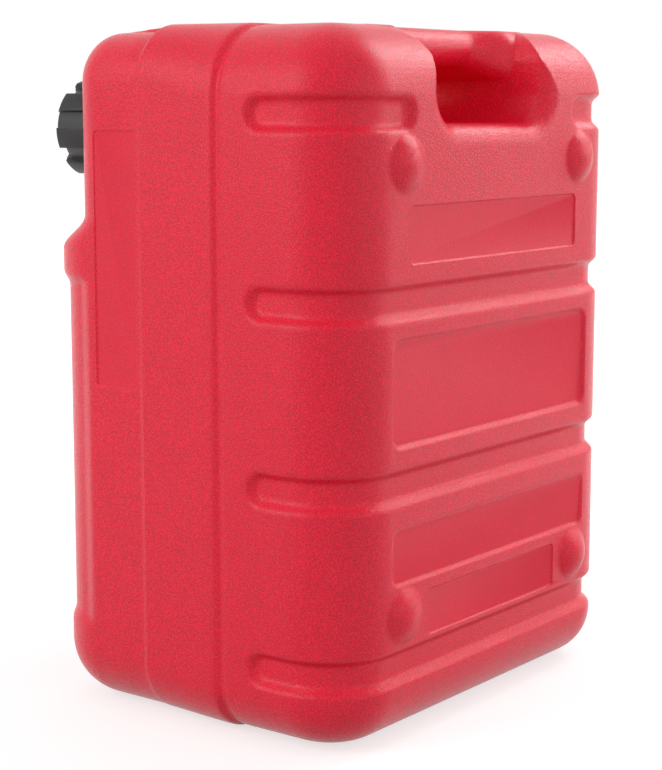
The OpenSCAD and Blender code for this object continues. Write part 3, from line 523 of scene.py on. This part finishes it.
def block(low, high):
    """A box between two corners in millimetres."""
    bpy.ops.object.select_all(action="DESELECT")
    bpy.ops.mesh.primitive_cube_add(size=0.001, location=[(a + b) * 0.0005 for a, b in zip(low, high)],
                                    scale=[b - a for a, b in zip(low, high)])
    piece = bpy.context.object
    bpy.ops.object.transform_apply(location=True, rotation=True, scale=True)
    return piece


def around(piece, turns):
    """Copies of a piece turned about the local axis, each with its own mesh; the pattern goes."""
    copies = []
    for a in turns:
        copy = piece.copy()
        copy.data = piece.data.copy()
        bpy.context.scene.collection.objects.link(copy)
        copies.append(set_down(copy, (0, 0, 0), (0, 0, a)))
    bpy.data.objects.remove(piece)
    return copies


def round_off(piece, width, segments=2, angle=38):
    """Rounds the edges that are sharper than an angle."""
    finish_with(piece, "BEVEL", width=width * 0.001, segments=segments, limit_method="ANGLE",
                angle_limit=math.radians(angle), miter_outer="MITER_ARC")


skirt_r, lobe_r, lobes = 27.6, 31, 8
end_taper, rim_taper, cap_turned = 0.932, 0.961, -11
cap = turned("cap", [(25.6, 28), (25.6, 4), (skirt_r, 4), (skirt_r, 6), (skirt_r, 31.6), (skirt_r, 34), (6.6, 34),
                     (6.6, 32.4), (4.08, 32.4), (4.08, 28)], 120, closed=True)
choose(cap, lambda at, n: at.xy.length > 27 and abs(n.z) < 0.1 and off_beat(at, lobes) < 12)
bpy.ops.mesh.extrude_region_move()
resize(lobe_r / skirt_r, lobe_r / skirt_r, 1)
choose(cap, lambda at, n: at.z > 33.9 and at.xy.length > 30, "VERT")
resize(end_taper, end_taper, 1)
choose(cap, lambda at, n: at.z < 4.1 and at.xy.length > 30, "VERT")
resize(rim_taper, rim_taper, 1)
wedge = block((20.5, -2.4, 29.5), (33, 2.4, 37))
choose(wedge, lambda at, n: n.x > 0.9)
resize(1, 2.7, 1)
for tool in around(wedge, [67.5 + 90 * i for i in range(4)]):
    carve(cap, tool)
round_off(cap, 0.55, 2, 33)
# The grained cap's last number is its painted shade in the grain's hollows and painted highlight on its crests.
cap_grained = plastic("cap_grained", (0.016, 0.0145, 0.015), 0.45, 0.9, 0.9, 0.15, 0.35, 0.2)
cap_smooth = plastic("cap_smooth", (0.034, 0.032, 0.033), 0.42, 0.15, 1.5, 0.1, 0.4)
coat(cap, cap_grained, cap_smooth)
for face in cap.data.polygons:
    at = face.center * 1000
    face.material_index = int(at.xy.length < 28.2 or at.z > 33.7)
set_down(cap, (0, 0, 0), (0, 0, cap_turned))
hand_over(set_down(cap, cap_spot), "filler_cap_body", "cap", "cap_black", "filler_cap")


# ---- Thread insert and cap gasket ----
# A dark grey sleeve with the cap's thread is pressed into the cap, and a flat rubber ring lies on
# the neck's mouth. Their plain solids stay and take their own finish.

def clothe(material, *nodes):
    """Gives solids that stay as they are a better material."""
    for node in nodes:
        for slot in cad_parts[node].material_slots:
            slot.material = material


clothe(plastic("insert_plastic", (0.055, 0.055, 0.060), 0.5, 0.3, 1.4, 0.12), "cap_insert")
rubber = plastic("rubber", (0.016, 0.016, 0.017), 0.72, 0.5, 0.5, 0.25, 0.35)
clothe(rubber, "cap_gasket", "vent_seal", "flange_gasket", "connector_ring")


# ---- Vent screw ----
# The vent in the cap's middle is a black knob with ten grips on a stem with a blind air hole. It
# seals on a rubber ring, and a steel clip in the stem's groove keeps it in the cap.

knob_r, grip_r, grips = 7.7, 8.95, 10
knob = turned("knob", [(1.2, 26), (1.2, 16), (3.4, 16), (4, 16.6), (4, 23.8), (3.2, 23.8), (3.2, 25), (4, 25),
                       (4, 34), (5.6, 34), (5.6, 35), (knob_r, 35), (knob_r, 42), (5.4, 42), (5.0, 41.2)], 120)
choose(knob, lambda at, n: at.xy.length > 7.5 and abs(n.z) < 0.1 and off_beat(at, grips) < 9)
bpy.ops.mesh.extrude_region_move()
resize(grip_r / knob_r, grip_r / knob_r, 1)
round_off(knob, 0.5, 3, 35)
arrow = block((-0.7, -3.6, 40.9), (0.7, 3.6, 41.8))
choose(arrow, lambda at, n: n.y > 0.9)
resize(0.2, 1, 1)
round_off(arrow, 0.15, 1)
carve(knob, arrow, "UNION")
coat(knob, plastic("vent_plastic", (0.026, 0.025, 0.026), 0.45, 0.4, 0.8, 0.15))
hand_over(set_down(knob, cap_spot), "vent_knob", "vent", "vent_black", "vent_screw")


def metal(name, colour, roughness, marks=0.2, along=(1, 1, 0.08)):
    """Bare metal whose tool marks are drawn out along one direction."""
    material, tree, shader, place = blank(name)
    drawn = shading(tree, "Mapping", {"Vector": place, "Scale": along})
    lines = shading(tree, "TexNoise", {"Vector": drawn.outputs["Vector"], "Scale": 2400, "Detail": 3})
    lines = lines.outputs["Fac"]
    spread = shading(tree, "MapRange", {"Value": lines, "To Min": roughness * 0.7, "To Max": roughness * 1.4})
    bump = shading(tree, "Bump", {"Strength": marks, "Distance": 0.00005, "Height": lines})
    dress(tree, shader, {"Metallic": 1.0, "Base Color": (*colour, 1),
                         "Roughness": spread.outputs["Result"], "Normal": bump.outputs["Normal"]})
    return material


steel = metal("steel", (0.62, 0.62, 0.64), 0.3, 0.3, (1, 0.08, 1))
clothe(steel, "vent_clip")


# ---- Fuel unit ----
# One black nylon moulding, screwed down on a gasket: a flange with ribs, the gauge's well, the
# outlet boss that points up past the filler's side, and inside the tank a spigot and a bracket.

outlet_z, shaft_x, pin_z = 0.016, 0.0015, -0.096
unit = turned("unit", [(15, -1.5), (15, -12), (17.3, -12), (18, -11.3), (18, 5), (27, 5), (27, 10), (16, 10),
                       (16, 22)])
rib = block((15, -0.8, 9), (26, 0.8, 13.5))
choose(rib, lambda at, n: n.x > 0.9)
resize(1, 1, 0.35, (0, 0, 9))
outlet_turn = 270
for tool in around(rib, [a + 36 for a in screw_turns if a + 36 != outlet_turn]):
    carve(unit, tool, "UNION")
carve(unit, rod((0, 0, outlet_z), 7.5, 11, 34, 64, (90, 0, 0)), "UNION")
carve(unit, rod((0, 0, outlet_z), 8.4, 27, 31, 64, (90, 0, 0)), "UNION")
well = turned("well", [(12.8, 12.4), (12.8, 16.4), (14, 16.4), (14, 20.4), (14.8, 20.4), (14.8, 30)])
carve(unit, well)
for x, y in screw_spots:
    carve(unit, rod((x * 0.001, y * 0.001, 0), 2, 0, 12, 24, upright))
carve(unit, rod((0, 0, outlet_z), 5, 24, 40, 48, (90, 0, 0)))
round_off(unit, 0.5, 2, 35)
for corners in (((-4, -5, -102), (-1, 5, -1)), ((4, -5, -102), (7, 5, -1)), ((-1.5, -5, -82), (4.5, 5, -79))):
    plate = block(*corners)
    round_off(plate, 0.5)
    carve(unit, plate, "UNION")
carve(unit, rod((shaft_x, -0.0115, 0), 6, -22, -3, 48, upright), "UNION")
carve(unit, rod((shaft_x, -0.0115, 0), 4, -23, -10.5, 48, upright))
carve(unit, rod((shaft_x, 0, 0), 1.2, -96, 13, 32, upright))
carve(unit, rod((0, 0, pin_z), 1.2, -6, 10, 32, (0, 90, 0)))
coat(unit, plastic("nylon", (0.024, 0.024, 0.026), 0.48, 0.45, 0.7, 0.2))
hand_over(set_down(unit, unit_spot), "unit_moulding", "tank", "unit_black", "unit_body")


# ---- Flange screws ----
# Five stainless pan-head screws with a cross recess go through the flange and its gasket and hold
# the unit to the tank's pad. One is turned and cut, and the others are its copies.

screw = turned("screw", [(1.6, -6), (1.6, 10), (3.2, 10), (3.2, 10.9), (2.9, 11.7), (2.1, 12.2)], 32)
for a in (0, 90):
    slot = block((-1.7, -0.4, 11.1), (1.7, 0.4, 13))
    carve(screw, set_down(slot, (0, 0, 0), (0, 0, a)))
set_down(screw, (screw_ring * 0.001, 0, 0), upright)
pick(*around(screw, screw_turns))
bpy.ops.object.join()
screws = bpy.context.object
coat(screws, steel, angle=40)
hand_over(set_down(screws, unit_spot), "screw_set", "tank", "screw_steel", "flange_screws")


# ---- Gauge dial ----
# The dial is a white printed disc at the foot of the well. The scale is printed round the pointer's
# axis, from empty on the left to full on the right as it is read from behind.

clothe(plastic("dial_face", (0.82, 0.82, 0.79), 0.45, 0.1, 2.0, 0.02), "gauge_dial")
empty_turn, full_turn, tick_steps = -52, 62, 8
marks = []
for i in range(tick_steps + 1):
    a = empty_turn + (full_turn - empty_turn) * i / tick_steps
    half, start = (0.35, 8.0) if i % 2 == 0 else (0.2, 8.9)
    tick = block((-half, start, 17.16), (half, 10.3, 17.27))
    marks.append(set_down(tick, (shaft_x, 0, 0), (0, 0, 180 + a)))
for word, a, far, size in (("F", -74, 8.8, 0.0034), ("E", 84, 8.6, 0.0034), ("1/2", 5, 12.1, 0.0022)):
    bpy.ops.object.select_all(action="DESELECT")
    bpy.ops.object.text_add()
    letter = bpy.context.object
    letter.data.body = word
    letter.data.size = size
    letter.data.extrude = 0.00006
    letter.data.align_x = letter.data.align_y = "CENTER"
    bpy.ops.object.convert(target="MESH")
    bpy.ops.object.mode_set(mode="EDIT")
    bpy.ops.mesh.select_all(action="SELECT")
    bpy.ops.mesh.remove_doubles(threshold=1e-6)
    bpy.ops.object.mode_set(mode="OBJECT")
    turn, far = math.radians(a), far * 0.001
    marks.append(set_down(letter, (shaft_x + far * math.sin(turn), -far * math.cos(turn), 0.01722), (0, 0, 180)))
pick(*marks)
bpy.ops.object.join()
scale_print = bpy.context.object
coat(scale_print, plastic("ink", (0.012, 0.012, 0.014), 0.55, 0.1, 1.0, 0.2), angle=20)
hand_over(set_down(scale_print, unit_spot), "dial_print", "tank", "unit_black")


# ---- Gauge pointer and lens ----
# The pointer is a thin red moulding pressed on the drive shaft; the lens over it is a clear domed
# disc bonded into the rim of the well.

pointer = turned("pointer", [(2.2, 17.7), (2.2, 18.9), (1.9, 19.2), (1.2, 19.3)], 48)
blade = block((-0.95, -10, 18.0), (0.95, 3, 18.8))
choose(blade, lambda at, n: n.y < -0.9)
resize(0.3, 1, 1)
carve(pointer, blade, "UNION")
round_off(pointer, 0.12, 1)
set_down(pointer, (shaft_x, 0, 0), upright)
coat(pointer, plastic("pointer_plastic", (0.72, 0.035, 0.018), 0.35, 0.1, 1.0, 0.08))
hand_over(set_down(pointer, unit_spot), "gauge_needle", "gauge", "pointer_red", "gauge_pointer")

lens = turned("lens", [(3, 22.0), (8, 21.8), (11.4, 21.2), (12.2, 20.45), (14.7, 20.45), (14.7, 22.5), (14.2, 23.0),
                       (12.6, 23.4), (9, 23.75), (4, 23.95)])
clear, tree, shader, place = blank("clear_lens")
wear = shading(tree, "TexNoise", {"Vector": place, "Scale": 350})
haze = shading(tree, "MapRange", {"Value": wear.outputs["Fac"], "To Max": 0.06})
dress(tree, shader, {"Base Color": (0.93, 0.96, 0.97, 1), "Transmission Weight": 1.0, "IOR": 1.49,
                     "Roughness": haze.outputs["Result"]})
coat(lens, clear, angle=50)
hand_over(set_down(lens, unit_spot), "lens_disc", "tank", "lens_clear", "gauge_lens")


# ---- Float, pickup and shaft ----
# Inside the tank a cream foam float rides on a bent steel wire and turns the gauge's shaft, and a
# pale tube with a slotted strainer draws the fuel from the lowest corner.

drum_bore = 1.56
drum = turned("drum", [(drum_bore, -17), (9.4, -17), (11.2, -16.4), (12, -14.8), (12, 14.8), (11.2, 16.4), (9.4, 17),
                       (drum_bore, 17)], 64, closed=True)
carve(drum, rod((0, 0, 0), drum_bore, 0, 14, 24, (0, -90, 0)))
# The foam's last number is its painted shade in the grain's hollows and painted highlight on its crests.
coat(drum, plastic("foam", (0.80, 0.70, 0.46), 0.7, 0.6, 0.6, 0.1, 0.3, 0.06))
hand_over(set_down(drum, (0.1015, -0.003, 0.271), (0, 90, 0)), "float_drum", "arm", "float_cream", "float")
clothe(steel, "float_arm", "arm_pin", "drive_shaft")
clothe(plastic("tube_plastic", (0.74, 0.72, 0.64), 0.45, 0.1, 1.5, 0.04), "pickup_tube", "strainer")


# ---- Fuel connector ----
# The nose that a hose clips on is turned from brass: a hexagon for the spanner and a nose with a
# ring groove. A steel key pin stands beside it, and a sprung check pin fills its mouth.

nose_spot = (0.100, 0.109, 0.383)
hex_r, hex_high = 8.5, 7
connector = rod((0, 0, 0), hex_r, 0, hex_high, 6, (0, 0, 30))
carve(connector, turned("chamfer", [(7.6, 0), (8.6, 0.7), (8.6, 6.3), (7.6, hex_high)]), "INTERSECT")
carve(connector, rod((0, 0, 0), 5, -9, 1, 64, upright), "UNION")
nose = turned("nose", [(4.5, 6.5), (4.5, 19), (3.6, 19), (3.6, 21), (4.5, 21), (4.5, 25.2), (4.25, 26.2),
                       (3.5, 27)], 64)
carve(connector, nose, "UNION")
carve(connector, rod((0.0062, 0, 0), 1.03, 3, 9, 24, upright))
carve(connector, turned("nose_bore", [(1.6, -12), (1.6, 2.6), (2.6, 2.6), (2.6, 23.5), (1.5, 23.5), (1.5, 29)], 48))
round_off(connector, 0.2, 2, 30)
coat(connector, metal("brass", (0.80, 0.55, 0.20), 0.26, 0.25, (0.1, 0.1, 1)))
hand_over(set_down(connector, nose_spot, (0, 0, 90)), "hose_connector", "tank", "connector_brass", "connector")
clothe(steel, "connector_key", "check_pin")

coil_r, wire_r, coil_low, coil_high, coil_turns = 1.9, 0.34, 3, 18, 7
wire = [(coil_r + wire_r * c, coil_low + wire_r * s) for c, s in arc(0, 330, 11)]
coil = wound("coil", wire, coil_turns, coil_high, 28)
coat(coil, steel, angle=60)
hand_over(set_down(coil, nose_spot, (0, 0, 90)), "check_coil", "tank", "spring_steel", "check_spring")
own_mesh(coil)


# ---- Floor, light and camera ----
# A plain white table, lit by a lamp at the front right, a weak one in front, a wide one behind on
# the left and one high on the right. The camera stands where the photograph was taken from.

aim = Vector((0, 0, 0.2))


def lamp(name, spot, size, power):
    """A flat lamp of a width and a height in metres that looks at the tank."""
    data = bpy.data.lights.new(name, "AREA")
    data.shape = "RECTANGLE"
    data.size, data.size_y = size
    data.energy = power
    light = bpy.data.objects.new(name, data)
    bpy.context.scene.collection.objects.link(light)
    light.location = spot
    light.rotation_euler = (aim - Vector(spot)).to_track_quat("-Z", "Y").to_euler()


lamp("lamp_right", (1.45, -1.05, 0.8), (0.45, 0.8), 6.2)
lamp("lamp_front", (0.1, -1.9, 0.8), (1.2, 1.0), 3.5)
lamp("lamp_left", (-1.6, 0.7, 1.0), (0.9, 1.1), 12.5)
lamp("lamp_top", (1.2, -0.35, 1.25), (0.6, 0.6), 8)

room_light, shown_white = 0.56, 1.0
world = bpy.data.worlds.new("studio")
bpy.context.scene.world = world
world.use_nodes = True
tree = world.node_tree
ray = shading(tree, "LightPath", {})
seen = shading(tree, "Math", {0: ray.outputs["Is Camera Ray"], 1: ray.outputs["Is Transmission Ray"]},
               operation="MAXIMUM")
seen = shading(tree, "Math", {0: seen.outputs[0], 1: ray.outputs["Is Glossy Ray"]}, operation="MAXIMUM")
level = shading(tree, "MapRange", {"Value": seen.outputs[0], "To Min": room_light, "To Max": shown_white})
dress(tree, tree.nodes["Background"], {"Color": (1, 1, 1, 1), "Strength": level.outputs["Result"]})

# The table glows for the camera and in reflections, less near the tank, where its shadow stays.
bpy.ops.mesh.primitive_plane_add(size=12, location=(0, 0, -0.0005))
floor = bpy.context.object
floor.name = "floor"
table, tree, paint, place = blank("table")
away = shading(tree, "VectorMath", {0: place}, operation="LENGTH")
fade = shading(tree, "MapRange", {"Value": away.outputs["Value"], "From Min": 0.3, "From Max": 0.9,
                                  "To Min": 0.68, "To Max": shown_white})
ray = shading(tree, "LightPath", {})
seen = shading(tree, "Math", {0: ray.outputs["Is Camera Ray"], 1: ray.outputs["Is Glossy Ray"]},
               operation="MAXIMUM")
glow = shading(tree, "Math", {0: seen.outputs[0], 1: fade.outputs["Result"]}, operation="MULTIPLY")
dress(tree, paint, {"Base Color": (0.45, 0.45, 0.45, 1), "Roughness": 0.8, "Specular IOR Level": 0.2,
                    "Emission Color": (1, 1, 1, 1), "Emission Strength": glow.outputs[0]})
floor.data.materials.append(table)

camera_spot, camera_down, camera_turn = (-0.9712, -0.7358, 0.3787), 8.66, -52.82
camera_data = bpy.data.cameras.new("camera")
camera_data.sensor_width = 36
camera_data.lens = 86.8
camera_data.clip_start = 0.05
camera = bpy.data.objects.new("camera", camera_data)
bpy.context.scene.collection.objects.link(camera)
camera.location = camera_spot
camera.rotation_euler = (math.radians(90 - camera_down), 0, math.radians(camera_turn))
bpy.context.scene.camera = camera

bpy.context.scene.view_settings.view_transform = "Standard"
